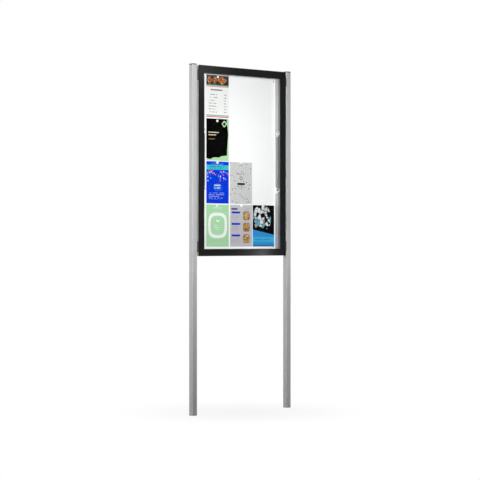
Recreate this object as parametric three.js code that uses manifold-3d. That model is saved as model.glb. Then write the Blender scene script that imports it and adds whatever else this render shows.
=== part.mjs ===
// A lockable notice board: an aluminium display case between two posts, with a top-hinged glazed door
// on two gas struts. Millimetres, +Z up, the front faces -Y, and the origin is at the middle of the
// bounding box's underside, between the posts' feet.
//
// Depths are counted backwards from the door's front face. In the sections of the profiles, the first
// number is the distance inwards from the profile's outer edge and the second is the depth.

import * as THREE from 'three';
import { mergeVertices } from 'three/addons/utils/BufferGeometryUtils.js';
import Module from 'manifold-3d';

const wasm = await Module();
wasm.setup();

// Driving dimensions
const fit = { seat: 0.3, run: 0.3, mitre: 0.2, overrun: 1 };
const board = { depth: 64 };
const post = { side: 40, wall: 2, corner: 2.5, length: 2443.5, pitch: 897, setBack: 3.5 };
const cap = { rise: 6.5, chamfer: 0.8, plug: 18, plugWall: 2, ribs: 3, ribRise: 0.25, ribHeight: 1.2 };
const door = { sideGap: 13.5, topDrop: 3, height: 1331, face: 50 };
const cover = { depth: 4.8, skin: 1.8, returnWall: 1.8, reveal: 5.9, edge: 1, legs: 2, legWall: 1.5 };
const inner = { front: 5.1, back: 27.5, wall: 2, setIn: 6.5, rebate: 36, shoulder: 11.5, corner: 0.8 };
const glass = { front: 6.3, thickness: 4, edge: 38 };
const gasket = { lip: 8, frontLip: 0.8, backLip: 0.9, web: 1.4 };
const box = { inset: 1, lipFront: 6.1, lipWall: 2, web: 28.7, wall: 2, rearWeb: 59.2, corner: 0.8 };
const groove = { start: 22, width: 6, depth: 3 };
const seal = { crown: 0.4, shoulder: 1.3 };
const panel = { thickness: 1.5, corner: 3 };
const rear = { gap: 1, thickness: 1.2 };
const hinge = { depth: 5.6, radius: 4.4, pin: 1.8, leaf: 1.2, knuckles: 9, knuckleGap: 0.6, clear: 0.5 };
const leaf = { caseWidth: 20, doorWidth: 24, endInset: 4, caseScrew: 15.9, doorScrew: 15 };
const leafScrews = { count: 7, bore: 1.8, endInset: 32 };
const bracket = { inset: 66.5, base: 74, top: 68, depth: 37, front: 5.3, baseCorner: 1.2, topCorner: 5 };
const bolt = { depth: 36.4, shank: 3, head: 5.25, headRise: 3.3, nut: 4.75, nutLength: 7, edge: 0.6 };
const sheet = { width: 210, height: 297, thickness: 0.3 };
const magnet = { radius: 9, rise: 6, edge: 1.2 };
const strut = { depth: 20, doorDrop: 443.5, caseDrop: 857.5, offset: 13, tube: 7.5, wall: 1.3, rod: 3 };
const joint = { ball: 5, neck: 2.6, socket: 6.5, socketLength: 13, stem: 4, stemLength: 18, mouth: 4.2 };
const piston = { length: 12, tail: 8, guide: 10, baseWall: 6, exposed: 9, groove: 6, grooveDepth: 0.7 };
const doorPlate = { width: 14, height: 26, thickness: 3, corner: 3, boss: 4.5, screw: 9, bore: 1.8 };
const casePlate = {
  back: 56, tall: 51, nose: 7.5, thickness: 3, corner: 3, screwBack: 8, screw: 14.5, bore: 1.8,
};
const lock = { offset: 230, depth: 40.5, housing: 8, bore: 5.8, plug: 5.5, flange: 9.5, flangeRise: 1.2 };
const barrel = { top: 12.5, nut: 9, nutHeight: 4, key: 1.6, keyWidth: 7, keyDepth: 3 };
const spindle = { radius: 3, head: 4.5, headHeight: 2.2 };
const cam = { thickness: 3, hub: 6.5, inner: 16.3, outer: 20, tip: 19, root: -35, arm: 15, rest: 90 };
const camSlot = { from: -18.5, to: -5, margin: 1.2 };
const facets = { corner: 3, small: 12, round: 20, ball: 12 };

// Sheets hang in a grid from the window's top left corner, each a little off it, under a magnet near
// the middle of the sheet's top edge
const grid = { left: 69, top: 4, columnGap: 10, rowGap: 7.5 };
const notices = [
  { column: 0, row: 0, shift: 0, slip: 0, magnetShift: 0, magnetDrop: 12 },
  { column: 0, row: 1, shift: 0, slip: -2, magnetShift: -4.5, magnetDrop: 14.8 },
  { column: 0, row: 2, shift: 0, slip: 0.5, magnetShift: -3.5, magnetDrop: 8.3 },
  { column: 1, row: 2, shift: 3, slip: 0.5, magnetShift: -4, magnetDrop: 3 },
  { column: 0, row: 3, shift: 0, slip: 0, magnetShift: -8, magnetDrop: 6.7 },
  { column: 1, row: 3, shift: 3, slip: 0, magnetShift: 1, magnetDrop: 7 },
  { column: 2, row: 3, shift: 0, slip: 0, magnetShift: -7, magnetDrop: 4.7 },
];

// Worked-out places
const atDepth = (depth) => depth - board.depth / 2;
const doorWidth = post.pitch - post.side - 2 * door.sideGap;
const doorTop = post.length - door.topDrop;
const doorBottom = doorTop - door.height;
const caseWidth = doorWidth - 2 * box.inset;
const caseHeight = door.height - 2 * box.inset;
const caseFace = door.face - box.inset;
const caseBack = board.depth;
const windowHalf = doorWidth / 2 - door.face;
const panelFront = box.rearWeb + fit.seat;
const hingeY = atDepth(hinge.depth);
const postX = post.pitch / 2;
const caseX = caseWidth / 2;
const lockBottom = doorBottom + box.inset;
const bracketHeights = { upper: doorTop - bracket.inset, lower: doorBottom + bracket.inset };

// Finishes
const finish = (color, roughness, metalness) => (
  new THREE.MeshStandardMaterial({ color, roughness, metalness }));
const silver = () => finish(0xb9bab8, 0.42, 0.75);
const greyAnodised = () => finish(0x7f807f, 0.45, 0.7);
const blackPaint = () => finish(0x1d1d1e, 0.35, 0.2);
const greyPaint = () => finish(0x8c8d8f, 0.4, 0.3);
const darkPlastic = () => finish(0x2b2b2d, 0.55, 0);
const steel = () => finish(0xa8a9ab, 0.3, 0.9);
const rubber = () => finish(0x161616, 0.8, 0);

// Booleans
function toSolid(geometry) {
  const bare = new THREE.BufferGeometry();
  bare.setAttribute('position', geometry.getAttribute('position').clone());
  if (geometry.index) bare.setIndex(geometry.index.clone());
  const merged = mergeVertices(bare, 1e-4);
  return new wasm.Manifold(new wasm.Mesh({
    numProp: 3,
    vertProperties: new Float32Array(merged.getAttribute('position').array),
    triVerts: new Uint32Array(merged.index.array),
  }));
}

function fromSolid(solid) {
  const mesh = solid.getMesh();
  const geometry = new THREE.BufferGeometry();
  geometry.setAttribute('position', new THREE.BufferAttribute(new Float32Array(mesh.vertProperties), 3));
  geometry.setIndex(new THREE.BufferAttribute(new Uint32Array(mesh.triVerts), 1));
  return geometry;
}

function join(first, ...others) {
  return fromSolid(others.reduce((whole, piece) => whole.add(toSolid(piece)), toSolid(first)));
}

function cut(first, ...others) {
  return fromSolid(others.reduce((whole, piece) => whole.subtract(toSolid(piece)), toSolid(first)));
}

// A right-hand piece, or its mirror image for the left (-1)
function handed(geometry, hand) {
  return hand > 0 ? geometry.clone() : fromSolid(toSolid(geometry).mirror([1, 0, 0]));
}

// A geometry from corner points and triangles, with its faces turned outwards
function closedGeometry(points, triangles) {
  let volume = 0;
  for (const [a, b, c] of triangles) {
    volume += points[a].dot(new THREE.Vector3().crossVectors(points[b], points[c]));
  }
  const faces = volume < 0 ? triangles.map(([a, b, c]) => [a, c, b]) : triangles;
  const geometry = new THREE.BufferGeometry().setFromPoints(points);
  geometry.setIndex(faces.flat());
  return geometry;
}

// An outline whose corners [x, y, radius] are rounded by arcs
function rounded(corners, steps = facets.corner) {
  return corners.flatMap(([x, y, radius = 0], i) => {
    const corner = new THREE.Vector2(x, y);
    if (!radius) return [corner];
    const before = corners[(i + corners.length - 1) % corners.length];
    const after = corners[(i + 1) % corners.length];
    const toBefore = new THREE.Vector2(before[0] - x, before[1] - y).normalize();
    const toAfter = new THREE.Vector2(after[0] - x, after[1] - y).normalize();
    const half = Math.acos(THREE.MathUtils.clamp(toBefore.dot(toAfter), -1, 1)) / 2;
    const centre = corner.clone().addScaledVector(
      toBefore.clone().add(toAfter).normalize(), radius / Math.sin(half));
    const start = corner.clone().addScaledVector(toBefore, radius / Math.tan(half)).sub(centre);
    const end = corner.clone().addScaledVector(toAfter, radius / Math.tan(half)).sub(centre);
    const turn = Math.atan2(start.cross(end), start.dot(end));
    return Array.from({ length: steps + 1 }, (_, k) => start.clone()
      .rotateAround(new THREE.Vector2(), turn * k / steps).add(centre));
  });
}

function roundedRectangle(width, height, radius) {
  const [w, h] = [width / 2, height / 2];
  return rounded([[-w, -h, radius], [w, -h, radius], [w, h, radius], [-w, h, radius]]);
}

// A straight length between two section planes. place(along, across, depth) puts a point in space.
function bar(outer, holes, start, end, place) {
  const wound = (ring, clockwise) => (
    THREE.ShapeUtils.isClockWise(ring) === clockwise ? ring : ring.toReversed());
  const rings = [wound(outer, false), ...holes.map((hole) => wound(hole, true))];
  const flat = rings.flat();
  const count = flat.length;
  const points = [start, end].flatMap((plane) => flat.map((p) => place(plane(p.x), p.x, p.y)));
  const triangles = [];
  for (const [a, b, c] of THREE.ShapeUtils.triangulateShape(rings[0], rings.slice(1))) {
    triangles.push([a, c, b], [a + count, b + count, c + count]);
  }
  let first = 0;
  for (const ring of rings) {
    for (let i = 0; i < ring.length; i += 1) {
      const [a, b] = [first + i, first + (i + 1) % ring.length];
      triangles.push([a, b, a + count], [b, b + count, a + count]);
    }
    first += ring.length;
  }
  return closedGeometry(points, triangles);
}

// One side of a rectangular frame, with its ends cut to a mitre
function frameSide(side, width, height, bottom, section) {
  const top = bottom + height;
  const places = {
    bottom: (along, across, depth) => new THREE.Vector3(along - width / 2, atDepth(depth), bottom + across),
    top: (along, across, depth) => new THREE.Vector3(along - width / 2, atDepth(depth), top - across),
    left: (along, across, depth) => new THREE.Vector3(across - width / 2, atDepth(depth), bottom + along),
    right: (along, across, depth) => new THREE.Vector3(width / 2 - across, atDepth(depth), bottom + along),
  };
  const length = side === 'top' || side === 'bottom' ? width : height;
  const start = (across) => across + fit.mitre;
  const end = (across) => length - across - fit.mitre;
  return bar(section.outer, section.holes ?? [], start, end, places[side]);
}

// A closed loop of one section round a rectangle
function frameLoop(width, height, bottom, section) {
  const count = section.length;
  const corners = [[-1, 0], [1, 0], [1, 1], [-1, 1]];
  const points = corners.flatMap(([sideways, up]) => section.map((p) => new THREE.Vector3(
    sideways * (width / 2 - p.x), atDepth(p.y), up ? bottom + height - p.x : bottom + p.x)));
  const triangles = [];
  for (let corner = 0; corner < corners.length; corner += 1) {
    const next = (corner + 1) % corners.length;
    for (let i = 0; i < count; i += 1) {
      const [a, b] = [corner * count + i, corner * count + (i + 1) % count];
      const [c, d] = [next * count + i, next * count + (i + 1) % count];
      triangles.push([a, c, b], [b, c, d]);
    }
  }
  return closedGeometry(points, triangles);
}

// A solid through outlines of equal counts at given heights
function loft(outlines) {
  const count = outlines[0].points.length;
  const points = outlines.flatMap(({ points: ring, z }) => ring.map((p) => new THREE.Vector3(p.x, p.y, z)));
  const triangles = [];
  for (const [a, b, c] of THREE.ShapeUtils.triangulateShape(outlines[0].points, [])) {
    const last = (outlines.length - 1) * count;
    triangles.push([a, c, b], [a + last, b + last, c + last]);
  }
  for (let level = 0; level + 1 < outlines.length; level += 1) {
    for (let i = 0; i < count; i += 1) {
      const [a, b] = [level * count + i, level * count + (i + 1) % count];
      triangles.push([a, b, a + count], [b, b + count, a + count]);
    }
  }
  return closedGeometry(points, triangles);
}

function block(x0, x1, y0, y1, z0, z1) {
  return new THREE.BoxGeometry(x1 - x0, y1 - y0, z1 - z0)
    .translate((x0 + x1) / 2, (y0 + y1) / 2, (z0 + z1) / 2);
}

// Round bars along each axis, between two places on it
function roundBar(axis, radius, from, to, sides = facets.small) {
  const geometry = new THREE.CylinderGeometry(radius, radius, to - from, sides);
  if (axis === 'x') geometry.rotateZ(-Math.PI / 2).translate((from + to) / 2, 0, 0);
  if (axis === 'y') geometry.translate(0, (from + to) / 2, 0);
  if (axis === 'z') geometry.rotateX(Math.PI / 2).translate(0, 0, (from + to) / 2);
  return geometry;
}

// A turned piece about the Z axis, from [radius, height] points that start and end on the axis or close
function turned(profile, sides = facets.round) {
  const points = profile.map(([radius, height]) => new THREE.Vector2(radius, height));
  return new THREE.LatheGeometry(points, sides).rotateX(Math.PI / 2);
}

const assembly = new THREE.Group();

function addPart(name, geometry, material, x = 0, y = 0, z = 0) {
  const mesh = new THREE.Mesh(geometry, material);
  mesh.name = name;
  mesh.position.set(x, y, z);
  assembly.add(mesh);
  return mesh;
}

// Posts and their caps
function addPosts() {
  const outer = roundedRectangle(post.side, post.side, post.corner);
  const bore = post.side - 2 * post.wall;
  const hollow = roundedRectangle(bore, bore, Math.max(post.corner - post.wall, 0));
  const shape = new THREE.Shape(outer);
  shape.holes.push(new THREE.Path(hollow));
  const tube = new THREE.ExtrudeGeometry(shape, { depth: post.length, bevelEnabled: false });
  const middle = post.setBack + post.side / 2;
  const holeAcross = (z) => roundBar(
    'x', bolt.shank + fit.run, post.side / 2 - post.wall - fit.overrun, post.side / 2 + fit.overrun)
    .translate(0, bolt.depth - middle, z);
  for (const [name, hand] of [['left', -1], ['right', 1]]) {
    const holes = Object.values(bracketHeights).map((z) => handed(holeAcross(z), -hand));
    addPart(`post_${name}`, cut(tube, ...holes), silver(), hand * postX, atDepth(middle), 0);
    addPart(`post_cap_${name}`, capSolid(), darkPlastic(), hand * postX, atDepth(middle), post.length);
  }
}

function capSolid() {
  const plate = loft([
    { points: roundedRectangle(post.side, post.side, post.corner), z: 0 },
    { points: roundedRectangle(post.side, post.side, post.corner), z: cap.rise - cap.chamfer },
    { points: roundedRectangle(post.side - 2 * cap.chamfer, post.side - 2 * cap.chamfer, post.corner),
      z: cap.rise },
  ]);
  const plugSide = post.side - 2 * post.wall - 2 * fit.run - 2 * cap.ribRise;
  const ring = (grow, z) => (
    { points: roundedRectangle(plugSide + 2 * grow, plugSide + 2 * grow, cap.ribRise), z });
  const rings = [ring(0, -cap.plug)];
  const pitch = cap.plug / (cap.ribs + 1);
  for (let k = 1; k <= cap.ribs; k += 1) {
    const z = -cap.plug + k * pitch;
    rings.push(ring(0, z - cap.ribHeight), ring(cap.ribRise, z), ring(0, z + cap.ribHeight));
  }
  rings.push(ring(0, fit.overrun));
  const bore = plugSide / 2 - cap.plugWall;
  return cut(join(plate, loft(rings)), block(-bore, bore, -bore, bore, -cap.plug - fit.overrun, 0));
}

// The display case: four mitred hollow profiles with a front lip, a rebate for the door and a rear rebate
function caseSection(lipFront) {
  const grooveEnd = groove.start + groove.width;
  return {
    outer: rounded([
      [0, lipFront, box.corner], [0, caseBack, box.corner], [box.lipWall, caseBack],
      [box.lipWall, box.rearWeb], [caseFace, box.rearWeb], [caseFace, box.web, box.corner],
      [grooveEnd, box.web], [grooveEnd, box.web + groove.depth], [groove.start, box.web + groove.depth],
      [groove.start, box.web], [box.lipWall, box.web], [box.lipWall, lipFront],
    ]),
    holes: [rounded([
      [box.lipWall, box.web + box.wall], [box.lipWall, box.rearWeb - box.wall],
      [caseFace - box.wall, box.rearWeb - box.wall], [caseFace - box.wall, box.web + box.wall],
      [grooveEnd + box.wall, box.web + box.wall], [grooveEnd + box.wall, box.web + groove.depth + box.wall],
      [groove.start - box.wall, box.web + groove.depth + box.wall],
      [groove.start - box.wall, box.web + box.wall],
    ])],
  };
}

function addCase() {
  const bottom = doorBottom + box.inset;
  const plain = caseSection(box.lipFront);
  const behindKnuckle = caseSection(hinge.depth + hinge.radius + hinge.clear + fit.seat);
  const side = (name, section) => frameSide(name, caseWidth, caseHeight, bottom, section);
  const boltHoles = (hand) => Object.values(bracketHeights).map((z) => roundBar(
    'x', bolt.shank + fit.run, -box.lipWall, box.lipWall)
    .translate(hand * (caseX - box.lipWall / 2), atDepth(bolt.depth), z));
  addPart('case_profile_top', side('top', behindKnuckle), silver());
  addPart('case_profile_left', cut(side('left', plain), ...boltHoles(-1)), silver());
  addPart('case_profile_right', cut(side('right', plain), ...boltHoles(1)), silver());
  const lockHoles = [-1, 1].flatMap((hand) => [
    roundBar('z', lock.housing + fit.run, -box.lipWall, 2 * box.lipWall, facets.round)
      .translate(hand * lock.offset, atDepth(lock.depth), bottom),
    camWindow(hand, box.web, box.wall),
  ]);
  addPart('case_profile_bottom', cut(side('bottom', plain), ...lockHoles), silver());
}

// The window that a cam swings through, in a wall of the given depth and thickness
function camWindow(hand, depth, wall) {
  const camBottom = lockBottom + barrel.top + fit.seat;
  return block(
    hand * lock.offset + camSlot.from, hand * lock.offset + camSlot.to,
    atDepth(depth) - fit.overrun, atDepth(depth + wall) + fit.overrun,
    camBottom - camSlot.margin, camBottom + cam.thickness + camSlot.margin);
}

function addPanels() {
  const plate = (thickness, depth, name, material) => {
    const width = caseWidth - 2 * box.lipWall - 2 * fit.seat;
    const height = caseHeight - 2 * box.lipWall - 2 * fit.seat;
    const shape = new THREE.Shape(roundedRectangle(width, height, panel.corner));
    const geometry = new THREE.ExtrudeGeometry(shape, { depth: thickness, bevelEnabled: false });
    geometry.rotateX(Math.PI / 2);
    addPart(name, geometry, material, 0, atDepth(depth + thickness), doorBottom + door.height / 2);
  };
  plate(panel.thickness, panelFront, 'back_panel', finish(0xf4f5f4, 0.35, 0));
  plate(rear.thickness, panelFront + panel.thickness + rear.gap, 'rear_sheet', finish(0xa9abad, 0.5, 0.7));
}

// The door: mitred silver profiles that hold the pane, under mitred black cover profiles
function coverSection() {
  const { depth, skin, returnWall, reveal, edge, legs, legWall } = cover;
  const legPitch = (door.face - 2 * returnWall) / (legs + 1);
  const corners = [
    [0, 0, edge], [0, depth], [returnWall, depth], [returnWall, skin],
  ];
  for (let k = 1; k <= legs; k += 1) {
    const middle = returnWall + k * legPitch;
    corners.push([middle - legWall / 2, skin], [middle - legWall / 2, depth]);
    corners.push([middle + legWall / 2, depth], [middle + legWall / 2, skin]);
  }
  corners.push([door.face - returnWall, skin], [door.face - returnWall, reveal], [door.face, reveal]);
  corners.push([door.face, 0, edge]);
  return { outer: rounded(corners) };
}

function innerSection() {
  const { front, back, wall, setIn, rebate, shoulder, corner } = inner;
  return {
    outer: rounded([
      [setIn, front], [setIn, back, corner], [door.face, back, corner], [door.face, shoulder],
      [rebate, shoulder], [rebate, front],
    ]),
    holes: [rounded([
      [setIn + wall, front + wall], [setIn + wall, back - wall], [door.face - wall, back - wall],
      [door.face - wall, shoulder + wall], [rebate - wall, shoulder + wall], [rebate - wall, front + wall],
    ])],
  };
}

function addDoorFrame() {
  const coverCut = roundBar('x', hinge.radius + hinge.clear, -doorWidth, doorWidth, facets.round)
    .translate(0, hingeY, doorTop);
  const halfLeaf = doorWidth / 2 - inner.setIn - leaf.doorWidth + fit.seat;
  const leafRecess = block(
    -halfLeaf, halfLeaf,
    atDepth(inner.front) - fit.overrun, hingeY + hinge.leaf / 2 + fit.seat,
    doorTop - leaf.doorWidth - fit.seat, doorTop);
  const camWindows = [-1, 1].map((hand) => camWindow(hand, inner.back - inner.wall, inner.wall));
  for (const name of ['top', 'bottom', 'left', 'right']) {
    const skin = frameSide(name, doorWidth, door.height, doorBottom, coverSection());
    addPart(`door_cover_${name}`, name === 'bottom' ? skin : cut(skin, coverCut), blackPaint());
    const frame = frameSide(name, doorWidth, door.height, doorBottom, innerSection());
    const cuts = { top: [leafRecess], bottom: camWindows }[name] ?? [];
    addPart(`door_profile_${name}`, cuts.length ? cut(frame, ...cuts) : frame, greyAnodised());
  }
}

function addGlazing() {
  const halfWidth = doorWidth / 2 - glass.edge;
  const pane = block(
    -halfWidth, halfWidth, atDepth(glass.front), atDepth(glass.front + glass.thickness),
    doorBottom + glass.edge, doorTop - glass.edge);
  addPart('glass_pane', pane, finish(0xdfe8e6, 0.05, 0));
  const [start, end] = [glass.edge - gasket.web - fit.seat, glass.edge + gasket.lip];
  const [paneFront, paneBack] = [glass.front - fit.seat, glass.front + glass.thickness + fit.seat];
  const section = rounded([
    [start, paneFront - gasket.frontLip], [start, paneBack + gasket.backLip - fit.seat],
    [end, paneBack + gasket.backLip - fit.seat], [end, paneBack], [glass.edge - fit.seat, paneBack],
    [glass.edge - fit.seat, paneFront], [end, paneFront], [end, paneFront - gasket.frontLip],
  ]);
  addPart('glazing_gasket', frameLoop(doorWidth, door.height, doorBottom, section), rubber());
}

function addDoorSeal() {
  const [near, far] = [groove.start + fit.seat, groove.start + groove.width - fit.seat];
  const section = rounded([
    [near, box.web + groove.depth - fit.seat], [far, box.web + groove.depth - fit.seat],
    [far, inner.back + seal.crown, seal.shoulder], [near, inner.back + seal.crown, seal.shoulder],
  ]);
  const bottom = doorBottom + box.inset;
  addPart('door_seal', frameLoop(caseWidth, caseHeight, bottom, section), rubber());
}

// The knuckle hinge along the top edge
function addHinge() {
  const half = caseX - box.lipWall - fit.seat - hinge.knuckleGap;
  const pitch = 2 * half / hinge.knuckles;
  const reach = hinge.radius + hinge.clear;
  const tube = roundBar('x', hinge.radius, -half, half, facets.round);
  const bore = roundBar('x', hinge.pin + fit.run, -half - fit.overrun, half + fit.overrun, facets.small);
  const knuckle = (k) => [-half + k * pitch, -half + (k + 1) * pitch];
  const gap = hinge.knuckleGap / 2;
  const tall = hinge.radius + fit.overrun;
  const caseNotches = [];
  const doorNotches = [];
  for (let k = 0; k < hinge.knuckles; k += 1) {
    const [x0, x1] = knuckle(k);
    const start = k ? x0 - gap : x0 - fit.overrun;
    const end = k + 1 < hinge.knuckles ? x1 + gap : x1 + fit.overrun;
    if (k % 2) caseNotches.push(block(start, end, -tall, reach, -tall, tall));
    else doorNotches.push(block(start, end, -tall, tall, -reach, tall));
  }
  const half2 = hinge.leaf / 2;
  const casePlateSolid = block(
    -half + leaf.endInset, half - leaf.endInset, 0, hinge.radius + leaf.caseWidth, -half2, half2);
  const halfDoorLeaf = doorWidth / 2 - inner.setIn - leaf.doorWidth;
  const doorPlateSolid = block(-halfDoorLeaf, halfDoorLeaf, -half2, half2, -leaf.doorWidth, 0);
  const screwRow = (axis, y, z) => Array.from({ length: leafScrews.count }, (_, k) => roundBar(
    axis, leafScrews.bore, -hinge.leaf, hinge.leaf)
    .translate((half - leafScrews.endInset) * (2 * k / (leafScrews.count - 1) - 1), y, z));
  addPart('hinge_leaf_case',
    cut(join(tube, casePlateSolid), bore, ...caseNotches, ...screwRow('z', leaf.caseScrew, 0)),
    blackPaint(), 0, hingeY, doorTop);
  addPart('hinge_leaf_door',
    cut(join(tube, doorPlateSolid), bore, ...doorNotches, ...screwRow('y', 0, -leaf.doorScrew)),
    blackPaint(), 0, hingeY, doorTop);
  addPart('hinge_pin', roundBar('x', hinge.pin, -half, half, facets.small), steel(), 0, hingeY, doorTop);
}

// Moulded brackets between case and posts, and the bolt through each
function addBrackets() {
  const span = postX - post.side / 2 - caseX - 2 * fit.seat;
  const outline = rounded([
    [0, -bracket.base / 2, bracket.baseCorner], [span, -bracket.top / 2, bracket.topCorner],
    [span, bracket.top / 2, bracket.topCorner], [0, bracket.base / 2, bracket.baseCorner],
  ], 2 * facets.corner);
  const shape = new THREE.Shape(outline);
  const body = new THREE.ExtrudeGeometry(shape, { depth: bracket.depth, bevelEnabled: false });
  body.rotateX(Math.PI / 2).translate(0, bracket.front + bracket.depth, 0);
  const hole = roundBar('x', bolt.shank + fit.run, -fit.overrun, span + fit.overrun)
    .translate(0, bolt.depth, 0);
  const solid = cut(body, hole);
  const grip = span + 2 * fit.seat + box.lipWall + post.wall + 2 * fit.seat;
  const boltSolid = turned([
    [0, -bolt.headRise], [bolt.head - bolt.headRise / 2, -bolt.headRise],
    [bolt.head, -bolt.headRise / 3], [bolt.head, 0], [bolt.shank, 0], [bolt.shank, grip],
    [bolt.nut - bolt.edge, grip], [bolt.nut, grip + bolt.edge],
    [bolt.nut, grip + bolt.nutLength - bolt.edge], [bolt.nut - bolt.edge, grip + bolt.nutLength],
    [0, grip + bolt.nutLength],
  ], facets.small).rotateY(Math.PI / 2);
  for (const [level, z] of Object.entries(bracketHeights)) {
    for (const [name, hand] of [['left', -1], ['right', 1]]) {
      addPart(`side_bracket_${level}_${name}`, handed(solid, hand), darkPlastic(),
        hand * (caseX + fit.seat), atDepth(0), z);
      addPart(`bracket_bolt_${level}_${name}`, handed(boltSolid, hand), steel(),
        hand * (caseX - box.lipWall - fit.seat), atDepth(bolt.depth), z);
    }
  }
}

// A place in the grid for each sheet: its own, or a free one where the window is too low for its row.
// A sheet in a column that the window has no room for isn't hung.
function sheetPlaces(windowWidth, windowHeight) {
  const across = Math.floor((windowWidth - grid.left + grid.columnGap) / (sheet.width + grid.columnGap));
  const down = Math.floor((windowHeight - grid.top + grid.rowGap) / (sheet.height + grid.rowGap));
  const all = Array.from({ length: across * down }, (_, k) => (
    { column: k % across, row: down - 1 - Math.floor(k / across) }));
  const same = (a, b) => a.column === b.column && a.row === b.row;
  const free = all.filter((place) => !notices.some((notice) => same(notice, place)));
  const place = (notice) => (notice.row < down ? all.find((own) => same(notice, own)) : free.shift());
  return notices.map((notice) => ({ ...notice, place: place(notice) })).filter((notice) => notice.place);
}

// Sheets on the panel, each under a round magnet
function addNotices() {
  const magnetSolid = turned([
    [0, 0], [magnet.radius, 0], [magnet.radius, magnet.rise - magnet.edge],
    [magnet.radius - magnet.edge, magnet.rise], [0, magnet.rise],
  ]).rotateX(Math.PI / 2);
  const sheetBack = panelFront - fit.seat;
  const sheetFront = sheetBack - sheet.thickness;
  const [windowWidth, windowHeight] = [2 * windowHalf, door.height - 2 * door.face];
  for (const [k, notice] of sheetPlaces(windowWidth, windowHeight).entries()) {
    const left = grid.left + notice.place.column * (sheet.width + grid.columnGap) + notice.shift;
    const below = grid.top + notice.place.row * (sheet.height + grid.rowGap) - notice.slip;
    const middle = left + sheet.width / 2 - windowHalf;
    const top = doorTop - door.face - below;
    addPart(`notice_sheet_${k + 1}`, new THREE.BoxGeometry(sheet.width, sheet.thickness, sheet.height),
      finish(0xe8e8e4, 0.6, 0), middle, atDepth(sheetBack - sheet.thickness / 2), top - sheet.height / 2);
    addPart(`sheet_magnet_${k + 1}`, magnetSolid.clone(), finish(0xf2f2f0, 0.4, 0),
      middle + notice.magnetShift, atDepth(sheetFront - fit.seat), top - notice.magnetDrop);
  }
}

// Gas struts, each on a ball stud at the case and reaching to a stud on the door
function socketSolid() {
  const half = joint.socketLength / 2;
  const shell = roundBar('x', joint.socket, -half, half, facets.round);
  const hollow = new THREE.SphereGeometry(joint.ball + fit.run, facets.ball, facets.ball);
  const mouth = roundBar('x', joint.mouth, 0, half + fit.overrun, facets.small);
  return { shell, hollow, mouth };
}

function strutTube(length) {
  const { shell, hollow, mouth } = socketSolid();
  const top = length - joint.stemLength - piston.exposed;
  const bore = strut.tube - strut.wall;
  const body = turned([
    [0, joint.socket / 2], [joint.stem, joint.socket / 2], [joint.stem, joint.stemLength],
    [strut.tube - strut.wall, joint.stemLength], [strut.tube, joint.stemLength + strut.wall],
    [strut.tube, top - piston.groove - piston.grooveDepth],
    [strut.tube - piston.grooveDepth, top - piston.groove],
    [strut.tube, top - piston.groove + piston.grooveDepth],
    [strut.tube, top - strut.wall], [strut.tube - strut.wall, top],
    [strut.rod + fit.run, top], [strut.rod + fit.run, top - piston.guide], [bore, top - piston.guide],
    [bore, joint.stemLength + piston.baseWall], [0, joint.stemLength + piston.baseWall],
  ]);
  return cut(join(shell, body), hollow, mouth);
}

function strutRod(length) {
  const { shell, hollow, mouth } = socketSolid();
  const start = joint.stemLength + piston.baseWall + fit.run;
  const bore = strut.tube - strut.wall - fit.run;
  const body = turned([
    [0, start], [strut.rod, start], [strut.rod, start + piston.tail], [bore, start + piston.tail],
    [bore, start + piston.tail + piston.length], [strut.rod, start + piston.tail + piston.length],
    [strut.rod, length - joint.stemLength], [joint.stem, length - joint.stemLength],
    [joint.stem, length - joint.socket / 2], [0, length - joint.socket / 2],
  ]);
  const place = (geometry) => geometry.translate(0, 0, length);
  return cut(join(place(shell), body), place(hollow), place(mouth));
}

// A flat plate that faces sideways, from an outline of [depth, height] corners round the pivot
function sidePlate(corners, thickness) {
  const place = (along, across, height) => new THREE.Vector3(along, across, height);
  return bar(rounded(corners, 2 * facets.corner), [], () => -thickness, () => 0, place);
}

// Holes for a pair of screws through such a plate
function plateHoles(bore, thickness, across, apart) {
  return [-1, 1].map((end) => roundBar('x', bore, -thickness - fit.overrun, fit.overrun)
    .translate(0, across, end * apart));
}

function doorStudSolid() {
  const { width, height, thickness, corner, boss, screw, bore } = doorPlate;
  const plate = sidePlate([
    [-width / 2, -height / 2, corner], [width / 2, -height / 2, corner],
    [width / 2, height / 2, corner], [-width / 2, height / 2, corner],
  ], thickness);
  const studLength = strut.offset - joint.socketLength / 2 - 2 * fit.seat;
  const stud = roundBar('x', boss, -studLength, -thickness / 2, facets.round);
  return cut(join(plate, stud), ...plateHoles(bore, thickness, 0, screw));
}

function caseStudSolid() {
  const { tall, nose, thickness, corner, screwBack, screw, bore } = casePlate;
  const back = casePlate.back - strut.depth;
  const plate = sidePlate([
    [-nose, -nose, nose], [back, -tall / 2, corner], [back, tall / 2, corner], [-nose, nose, nose],
  ], thickness);
  const centre = -(strut.offset - fit.seat);
  const neck = roundBar('x', joint.neck, centre, -thickness / 2, facets.small);
  const ball = new THREE.SphereGeometry(joint.ball, facets.ball, facets.ball).translate(centre, 0, 0);
  return cut(join(plate, neck, ball), ...plateHoles(bore, thickness, back - screwBack, screw));
}

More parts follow.
